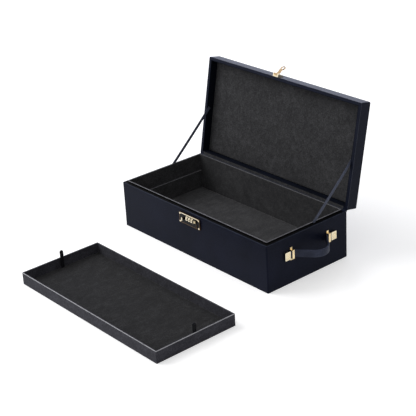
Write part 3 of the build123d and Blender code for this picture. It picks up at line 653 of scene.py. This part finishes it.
def padMesh(name, low, high, edge, swell, glued):
    # a rounded-edge pad between two corners; glued is the side that lies on its board, and the other swells
    nx, ny = padGrid["columns"], padGrid["rows"]
    power = padGrid["crownPower"]
    acrossRate, acrossShift = padGrid["waveAcross"]
    alongRate, alongShift = padGrid["waveAlong"]
    width, depth, height = [b - a for a, b in zip(low, high)]
    points = []
    for j in range(ny + 1):
        for i in range(nx + 1):
            x = crowded(i, nx, width)
            y = crowded(j, ny, depth)
            toEdge = min(width / 2 - abs(x), depth / 2 - abs(y))
            crown = swell * (1 - (2 * x / width) ** power) * (1 - (2 * y / depth) ** power)
            wave = math.sin(x * acrossRate + acrossShift) * math.sin(y * alongRate + alongShift)
            crown *= 1 + padGrid["wave"] * wave
            lift = height - swell - min(edge, height) * turnedDown(toEdge, edge) + crown
            points.append((x, y, lift))
    rows = nx + 1
    faces = [(j * rows + i, j * rows + i + 1, (j + 1) * rows + i + 1, (j + 1) * rows + i)
             for j in range(ny) for i in range(nx)]
    rim = list(range(rows)) + [j * rows + nx for j in range(1, ny + 1)]
    rim += [ny * rows + i for i in range(nx - 1, -1, -1)] + [j * rows for j in range(ny - 1, 0, -1)]
    base = len(points)
    points += [(points[i][0], points[i][1], 0.0) for i in rim]
    count = len(rim)
    for k in range(count):
        m = (k + 1) % count
        faces.append((rim[k], base + k, base + m, rim[m]))
    faces.append(tuple(base + k for k in range(count))[::-1])
    cx, cy = [(a + b) / 2 for a, b in zip(low[:2], high[:2])]
    if glued == "low":
        points = [(x + cx, y + cy, z + low[2]) for x, y, z in points]
    else:
        points = [(x + cx, y + cy, high[2] - z) for x, y, z in points]
    mesh = bpy.data.meshes.new(name)
    mesh.from_pydata(points, [], faces)
    turnFacesOut(mesh)
    smoothMesh(mesh)
    return mesh


def makePads(settings):
    for name, s in settings.items():
        place = frames[s["frame"]]
        low, high = localBox(s["node"], place)
        mesh = padMesh(name, low, high, s["edge"] * mm, s["swell"] * mm, s["glued"])
        mesh.transform(place)
        pad = addPiece(name, mesh, s["finish"], s["body"])
        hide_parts(s["node"])


makePads(pads)
print("stage: pads made")

# The grosgrain stays that hold the lid open. The foot is at the case's rim, just outside the suede lip. The
# head is on the lid's inner wall, at a reach from the hinge and a depth from the lid's rim. They hang a touch
# slack, and the sag is a share of the length.
ribbon = {
    "width": 6.4,
    "thickness": 0.5,
    "side": 192.75,
    "footY": 20.0,
    "footZ": 90.0,
    "headReach": 95.0,
    "headDepth": 6.0,
    "sag": 0.006,
    "steps": 48,
}


def makeRibbons(s):
    section = flatSection(s["width"] * mm, s["thickness"] * mm)
    for side, label in ((-1, "left"), (1, "right")):
        foot = Vector((side * s["side"] * mm, s["footY"] * mm, s["footZ"] * mm))
        hingeEnd = Vector((side * s["side"] * mm, *hinge["pos_m"][1:]))
        head = hingeEnd + lidOut * s["headReach"] * mm + lidUp * s["headDepth"] * mm
        run = head - foot
        centres = []
        for i in range(s["steps"] + 1):
            t = i / s["steps"]
            point = foot.lerp(head, t)
            point.z -= s["sag"] * run.length * 4 * t * (1 - t)
            centres.append(point)
        mesh = sweepMesh("ribbonStay_" + label, centres, section, (0.0, -run.z, run.y))
        stay = addPiece("ribbonStay_" + label, mesh, ribbonWeave, None)
        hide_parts("ribbon_stay_" + label)
        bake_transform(stay)


makeRibbons(ribbon)
print("stage: ribbons made")

# Each handle strap bows out between its two caps. Its corners are given by how far along and out from the
# wall they lie, and each bend has its own radius. Its crowned face is the one towards the wall.
strap = {
    "width": 14.0,
    "thickness": 2.2,
    "crown": 0.25,
    "edgeSteps": 5,
    "gap": 1.5,
    "y": 2.75,
    "z": 57.0,
    "wall": 200.0,
    "centre": 3.5,
    "end": 59.6,
    "foot": 39.14,
    "peak": 52.7,
    "footRadius": 5.0,
    "peakRadius": 25.0,
    "squashKeep": 0.3,
}


def makeStraps(s):
    plan = [(-s["end"], s["centre"]), (-s["foot"], s["centre"]), (0.0, s["peak"]),
            (s["foot"], s["centre"]), (s["end"], s["centre"])]
    radii = [s["footRadius"] * mm, s["peakRadius"] * mm, s["footRadius"] * mm]
    section = flatSection(s["width"] * mm, s["thickness"] * mm, s["edgeSteps"], s["crown"] * mm)
    for side, label in ((-1, "left"), (1, "right")):
        corners = [Vector((side * (s["wall"] + out) * mm, (s["y"] + along) * mm, s["z"] * mm))
                   for along, out in plan]
        line = evenLine(roundedLine(corners, radii), s["gap"] * mm)
        mesh = sweepMesh("strapHandle_" + label, line, [(a, side * b) for a, b in section])
        handle = addPiece("strapHandle_" + label, mesh, strapCalf, "base")
        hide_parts("handle_strap_" + label)
        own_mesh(handle)


makeStraps(strap)
print("stage: strap handles made")

# The tray's two pull loops stand inside its end walls, a little wider at the top than at the foot.
loop = {
    "inset": 4.6,
    "floor": 4.0,
    "top": 36.2,
    "footWidth": 3.1,
    "topWidth": 4.1,
    "topRadius": 2.0,
    "width": 4.0,
    "thickness": 3.0,
    "edgeSteps": 4,
    "crown": 0.1,
    "gap": 1.0,
}


def makeLoops(s):
    low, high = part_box("tray_box")
    middle = (low[1] + high[1]) / 2
    shape = [(-s["footWidth"] / 2, s["floor"]), (-s["topWidth"] / 2, s["top"]),
             (s["topWidth"] / 2, s["top"]), (s["footWidth"] / 2, s["floor"])]
    section = flatSection(s["width"] * mm, s["thickness"] * mm, s["edgeSteps"], s["crown"] * mm)
    for side, label, wall in ((-1, "left", low[0]), (1, "right", high[0])):
        x = wall - side * s["inset"] * mm
        corners = [Vector((x, middle + across * mm, up * mm)) for across, up in shape]
        line = evenLine(roundedLine(corners, [s["topRadius"] * mm] * 2), s["gap"] * mm)
        mesh = sweepMesh("trayLoop_" + label, line, section, (1.0, 0.0, 0.0))
        pull = addPiece("trayLoop_" + label, mesh, pullWeave, "tray")
        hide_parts("tray_loop_" + label)


makeLoops(loop)
print("stage: tray loops made")

# Each turned edge is a slim roll round a CAD node's outline, or round a line inset from it, at the node's top
# or bottom. Its middle lies inside the edge by the sit, and the lift moves all of it up. An inner one is the
# edge of a hollow, and an open one leaves out the side along the hinge.
# The paler finishes of the lid's edges, the lip's outer edge and the tray's outer rim are painted highlights,
# and the rim calf a faint one.
edges = {
    "baseTopEdge": {"around": "base_shell", "frame": "case", "inset": 0.0, "corner": 2.5, "level": "top",
                    "lift": 0.0, "radius": 0.9, "sit": 0.9, "inner": False, "open": True,
                    "finish": rimCalf, "body": "base", "slot": "leather"},
    "lipOuterEdge": {"around": "base_liner", "frame": "case", "inset": 0.0, "corner": 0.8, "level": "top",
                     "lift": 0.0, "radius": 0.8, "sit": 0.65, "inner": False, "open": False,
                     "finish": lipNap, "body": "base", "slot": "suede"},
    "lipInnerEdge": {"around": "base_liner", "frame": "case", "inset": 2.0, "corner": 0.8, "level": "top",
                     "lift": 0.0, "radius": 0.7, "sit": 0.7, "inner": True, "open": False,
                     "finish": nap, "body": "base", "slot": "suede"},
    "lidTopEdge": {"around": "lid_shell", "frame": "lid", "inset": 0.0, "corner": 2.5, "level": "top",
                   "lift": 0.0, "radius": 1.2, "sit": 1.2, "inner": False, "open": False,
                   "finish": edgeCalf, "body": "lid", "slot": "leather"},
    "lidRimEdge": {"around": "lid_shell", "frame": "lid", "inset": 0.0, "corner": 2.5, "level": "bottom",
                   "lift": 0.2, "radius": 0.9, "sit": 0.75, "inner": False, "open": True,
                   "finish": edgeCalf, "body": "lid", "slot": "leather"},
    "lidInnerEdge": {"around": "lid_lining", "frame": "lid", "inset": 0.0, "corner": 0.6, "level": "bottom",
                     "lift": 0.25, "radius": 0.45, "sit": 0.25, "inner": True, "open": True,
                     "finish": rimCalf, "body": "lid", "slot": "leather"},
    "trayOuterEdge": {"around": "tray_box", "frame": "case", "inset": 0.0, "corner": 1.0, "level": "top",
                      "lift": 0.0, "radius": 0.65, "sit": 0.5, "inner": False, "open": False,
                      "finish": rimNap, "body": "tray", "slot": "suede"},
    "trayInnerEdge": {"around": "tray_box", "frame": "case", "inset": 2.6, "corner": 0.6, "level": "top",
                      "lift": 0.0, "radius": 0.6, "sit": 0.6, "inner": True, "open": False,
                      "finish": trayNap, "body": "tray", "slot": "suede"},
}
# No corner is rounded to less than this, in millimetres.
leastCorner = 0.3


def makeEdges(settings):
    for name, s in settings.items():
        low, high = localBox(s["around"], frames[s["frame"]])
        x0, y0 = [a / mm + s["inset"] for a in low[:2]]
        x1, y1 = [a / mm - s["inset"] for a in high[:2]]
        inset = -s["sit"] if s["inner"] else s["sit"]
        corner = max(leastCorner, s["corner"] - inset)
        outline = boxRound((x0 + inset, y0 + inset), (x1 - inset, y1 - inset), corner)
        if s["open"]:
            half = len(outline) // 2
            if s["frame"] == "case":
                outline = [(x0 + inset, y1)] + outline[half:] + [(x1 - inset, y1)]
            else:
                outline = [(x1 - inset, y0)] + outline[:half] + [(x0 + inset, y0)]
        if s["level"] == "top":
            up = high[2] / mm + s["lift"] - s["sit"]
        else:
            up = low[2] / mm + s["lift"] + s["sit"]
        line = [Vector((x * mm, y * mm, up * mm)) for x, y in outline]
        mesh = sweepMesh(name, line, roundSection(s["radius"] * mm), closed=not s["open"])
        mesh.transform(frames[s["frame"]])
        addPiece(name, mesh, s["finish"], s["body"])


makeEdges(edges)
print("stage: turned edges made")

# A black welt fills the rebate between the leather and the suede lip, on the three sides away from the hinge:
# a dark sheet that is painted shadow on the rim and the lip's outer face. Its profile is in millimetres: how
# far in from the wall, and the height.
welt = {
    "corner": 2.5,
    "profile": ((1.6, 89.9), (1.6, 90.2), (7.1, 90.2), (7.1, 92.0), (7.45, 92.0), (7.45, 89.9)),
    "pressedTo": 89.7,
    "keep": 0.02,
}


def makeWelt(s):
    low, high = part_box("base_shell")
    x0, y0 = [a / mm for a in low[:2]]
    x1, y1 = [a / mm for a in high[:2]]
    back = y1 - s["profile"][-1][0]
    rings = []
    for inset, up in s["profile"]:
        corner = max(leastCorner, s["corner"] - inset)
        outline = boxRound((x0 + inset, y0 + inset), (x1 - inset, y1 - inset), corner)
        outline = [(x0 + inset, back)] + outline[len(outline) // 2:] + [(x1 - inset, back)]
        rings.append([(x, y, up) for x, y in outline])
    count = len(rings[0])
    sides = len(rings)
    points = [(x * mm, y * mm, z * mm) for ring in rings for x, y, z in ring]
    faces = []
    for j in range(sides):
        ring = j * count
        nextRing = (j + 1) % sides * count
        faces += [(ring + i, ring + i + 1, nextRing + i + 1, nextRing + i) for i in range(count - 1)]
    faces.append(tuple(j * count for j in range(sides)))
    faces.append(tuple(j * count + count - 1 for j in range(sides))[::-1])
    mesh = bpy.data.meshes.new("rimShadowWelt")
    mesh.from_pydata(points, [], faces)
    turnFacesOut(mesh)
    edging = addPiece("rimShadowWelt", mesh, shadowBlack, "base")
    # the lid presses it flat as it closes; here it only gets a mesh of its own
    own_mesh(edging)


# A folded edge runs along the top of each ledge that the tray rests on, in the pale lip suede: a painted
# highlight.
ledge = {"radius": 0.6, "sit": 0.35, "steps": 4}


def makeLedgeBeads(s):
    for side, label in ((1, "left"), (-1, "right")):
        low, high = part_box("tray_ledge_" + label)
        x = (high[0] if side == 1 else low[0]) - side * s["sit"] * mm
        z = high[2] - s["sit"] * mm
        line = [Vector((x, low[1] + (high[1] - low[1]) * k / s["steps"], z)) for k in range(s["steps"] + 1)]
        mesh = sweepMesh("ledgeBead_" + label, line, roundSection(s["radius"] * mm))
        addPiece("ledgeBead_" + label, mesh, lipNap, "base")


# A thin leather roll covers the hinge line, so no light shows between the case and the lid.
hingeRoll = {"reach": 198.0, "radius": 1.1, "drop": 0.6, "steps": 16, "sides": 12}


def makeHingeRoll(s):
    y, z = hinge["pos_m"][1:]
    places = [2 * k / s["steps"] - 1 for k in range(s["steps"] + 1)]
    line = [Vector((s["reach"] * place * mm, y, z - s["drop"] * mm)) for place in places]
    mesh = sweepMesh("hingeRoll", line, roundSection(s["radius"] * mm, s["sides"]))
    addPiece("hingeRoll", mesh, rimCalf, "base")


makeWelt(welt)
makeLedgeBeads(ledge)
makeHingeRoll(hingeRoll)
print("stage: welt, ledge beads and hinge roll made")

# The polished upper rail of the lock's frame, a slim rounded bar that stands on it, a little shorter than it.
lockRail = {"inset": 0.9, "radius": 0.75, "stand": 0.25, "end": 3.0, "steps": 8, "sides": 12}


def makeLockRail(s):
    low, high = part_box("lock_plate")
    z = high[2] - s["inset"] * mm
    y = low[1] + (s["radius"] - s["stand"]) * mm
    middle = (low[0] + high[0]) / 2
    reach = (high[0] - low[0]) / 2 - s["end"] * mm
    places = [2 * k / s["steps"] - 1 for k in range(s["steps"] + 1)]
    line = [Vector((middle + reach * place, y, z)) for place in places]
    mesh = sweepMesh("lockRail", line, roundSection(s["radius"] * mm, s["sides"]))
    addPiece("lockRail", mesh, plate, "base")


makeLockRail(lockRail)
print("stage: lock rail made")

# A coil of steel wire that pushes the catch home. The slide squeezes it against its stop.
spring = {"turns": 4, "wire": 0.25, "radius": 1.3, "steps": 20, "sides": 8, "travel": 3.0}


def makeSpring(s):
    low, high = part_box("lock_spring")
    start = low[0] + s["wire"] * mm
    reach = high[0] - low[0] - 2 * s["wire"] * mm
    centre = [(a + b) / 2 for a, b in zip(low, high)]
    count = s["turns"] * s["steps"]
    line = []
    for k in range(count + 1):
        angle = math.tau * k / s["steps"]
        line.append(Vector((start + reach * k / count,
                            centre[1] + s["radius"] * mm * math.cos(angle),
                            centre[2] + s["radius"] * mm * math.sin(angle))))
    mesh = sweepMesh("catchSpring", line, roundSection(s["wire"] * mm, s["sides"]), (1.0, 0.0, 0.0))
    coil = addPiece("catchSpring", mesh, bright, "base")
    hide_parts("lock_spring")
    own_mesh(coil)


makeSpring(spring)
print("stage: catch spring made")

# Ten numerals round each wheel, engraved and filled with black enamel. The font's size is a little more than
# the numerals' height, and shown holds the numeral at the front of each wheel.
digits = {
    "count": 10,
    "height": 2.9,
    "fontScale": 1.35,
    "depth": 0.06,
    "radius": 5.5,
    "shown": (3, 0, 7),
}


def numeralMesh(numeral, s):
    # a thin numeral, made as text and turned into a mesh
    letters = bpy.data.curves.new("digit", "FONT")
    letters.body = str(numeral)
    letters.size = s["height"] * s["fontScale"] * mm
    letters.extrude = s["depth"] * mm
    letters.align_x = "CENTER"
    letters.align_y = "CENTER"
    holder = bpy.data.objects.new("digit", letters)
    bpy.context.scene.collection.objects.link(holder)
    bpy.context.view_layer.update()
    mesh = bpy.data.meshes.new_from_object(holder.evaluated_get(bpy.context.evaluated_depsgraph_get()))
    bpy.data.objects.remove(holder)
    return mesh


def makeDigits(s):
    for number, first in enumerate(s["shown"], start=1):
        wheel = "number_wheel_" + str(number)
        low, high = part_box(wheel)
        centre = Vector([(a + b) / 2 for a, b in zip(low, high)])
        # stands a numeral on the wheel's rim, before it is turned round the axle
        stand = Matrix.Translation((0.0, -s["radius"] * mm, 0.0)) @ Matrix.Rotation(math.pi / 2, 4, "X")
        work = bmesh.new()
        for k in range(s["count"]):
            flat = numeralMesh((first + k) % s["count"], s)
            turn = Matrix.Rotation(math.tau * k / s["count"], 4, "X")
            flat.transform(Matrix.Translation(centre) @ turn @ stand)
            work.from_mesh(flat)
        mesh = bpy.data.meshes.new("wheelDigits_" + str(number))
        work.to_mesh(mesh)
        work.free()
        addPiece("wheelDigits_" + str(number), mesh, ink, wheel)


makeDigits(digits)
print("stage: digits made")

# A pale room: a matt floor under a white background.
room = {
    "floorColour": "#f0f0f1",
    "floorRoughness": 0.9,
    "floorGlow": 0.45,
    "floorSize": 14.0,
    "light": "#ffffff",
    "worldLight": 0.3,
}


def seenRays(tree):
    # 1 for what the eye sees, also through glass and in reflections, and 0 for rays that only carry light
    light = addNode(tree, "ShaderNodeLightPath")
    total = light.outputs["Is Camera Ray"]
    for ray in ("Is Glossy Ray", "Is Transmission Ray"):
        either = addNode(tree, "ShaderNodeMath", {"operation": "MAXIMUM"}, {0: total, 1: light.outputs[ray]})
        total = either.outputs["Value"]
    return total


def makeWorld(s):
    world = bpy.data.worlds.new("studio")
    bpy.context.scene.world = world
    world.use_nodes = True
    tree = world.node_tree
    tree.nodes.clear()
    # the eye and polished metal see white, and the light that the world gives is dimmer
    strength = addNode(tree, "ShaderNodeMapRange", None, {"Value": seenRays(tree)},
                       To_Min=s["worldLight"], To_Max=1.0)
    glow = addNode(tree, "ShaderNodeBackground", None, {"Strength": strength.outputs["Result"]},
                   Color=srgb(s["light"]))
    addNode(tree, "ShaderNodeOutputWorld", None, {"Surface": glow.outputs["Background"]})


def makeFloor(s):
    mesh = bpy.data.meshes.new("floor")
    half = s["floorSize"] / 2
    corners = [(-half, -half, 0), (half, -half, 0), (half, half, 0), (-half, half, 0)]
    mesh.from_pydata(corners, [], [(0, 1, 2, 3)])
    floor = bpy.data.objects.new("floor", mesh)
    bpy.context.scene.collection.objects.link(floor)
    # matt, and with a faint glow of its own where it is seen, so it is as pale as the background
    material, tree = newMaterial("paleMattFloor")
    shine = addNode(tree, "ShaderNodeMapRange", None, {"Value": seenRays(tree)},
                    To_Min=0.0, To_Max=s["floorGlow"])
    shader = addNode(tree, "ShaderNodeBsdfPrincipled", None, {"Emission Strength": shine.outputs["Result"]},
                     Base_Color=srgb(s["floorColour"]), Roughness=s["floorRoughness"],
                     Emission_Color=srgb(s["light"]))
    addNode(tree, "ShaderNodeOutputMaterial", None, {"Surface": shader.outputs["BSDF"]})
    mesh.materials.append(material)


# A large soft key lamp from the left, a weaker one above, and a cool one low behind that polished metal
# mirrors. All point at the case.
lampAim = (0.0, -0.1, 0.1)
lamps = {
    "key": {"place": (-1.9, -1.3, 2.1), "size": (2.2, 2.2), "power": 62.0, "mirrored": False},
    "top": {"place": (0.2, 0.3, 2.8), "size": (2.6, 2.6), "power": 18.0, "mirrored": False},
    "back": {"place": (-2.0, 2.1, 0.8), "size": (2.0, 1.2), "power": 15.0, "mirrored": True,
             "colour": "#d2dafb"},
}


def makeLamps(settings):
    for name, s in settings.items():
        data = bpy.data.lights.new(name, "AREA")
        data.shape = "RECTANGLE"
        data.size, data.size_y = s["size"]
        data.energy = s["power"]
        data.color = srgb(s.get("colour", "#ffffff"))[:3]
        lamp = bpy.data.objects.new(name, data)
        bpy.context.scene.collection.objects.link(lamp)
        # the lamps aren't seen themselves, and only a mirrored one shows in polished metal
        lamp.visible_camera = False
        lamp.visible_glossy = s["mirrored"]
        lamp.location = s["place"]
        lamp.rotation_mode = "QUATERNION"
        lamp.rotation_quaternion = (Vector(s["place"]) - Vector(lampAim)).to_track_quat("Z", "Y")


makeWorld(room)
makeFloor(room)
makeLamps(lamps)
print("stage: room and lamps made")
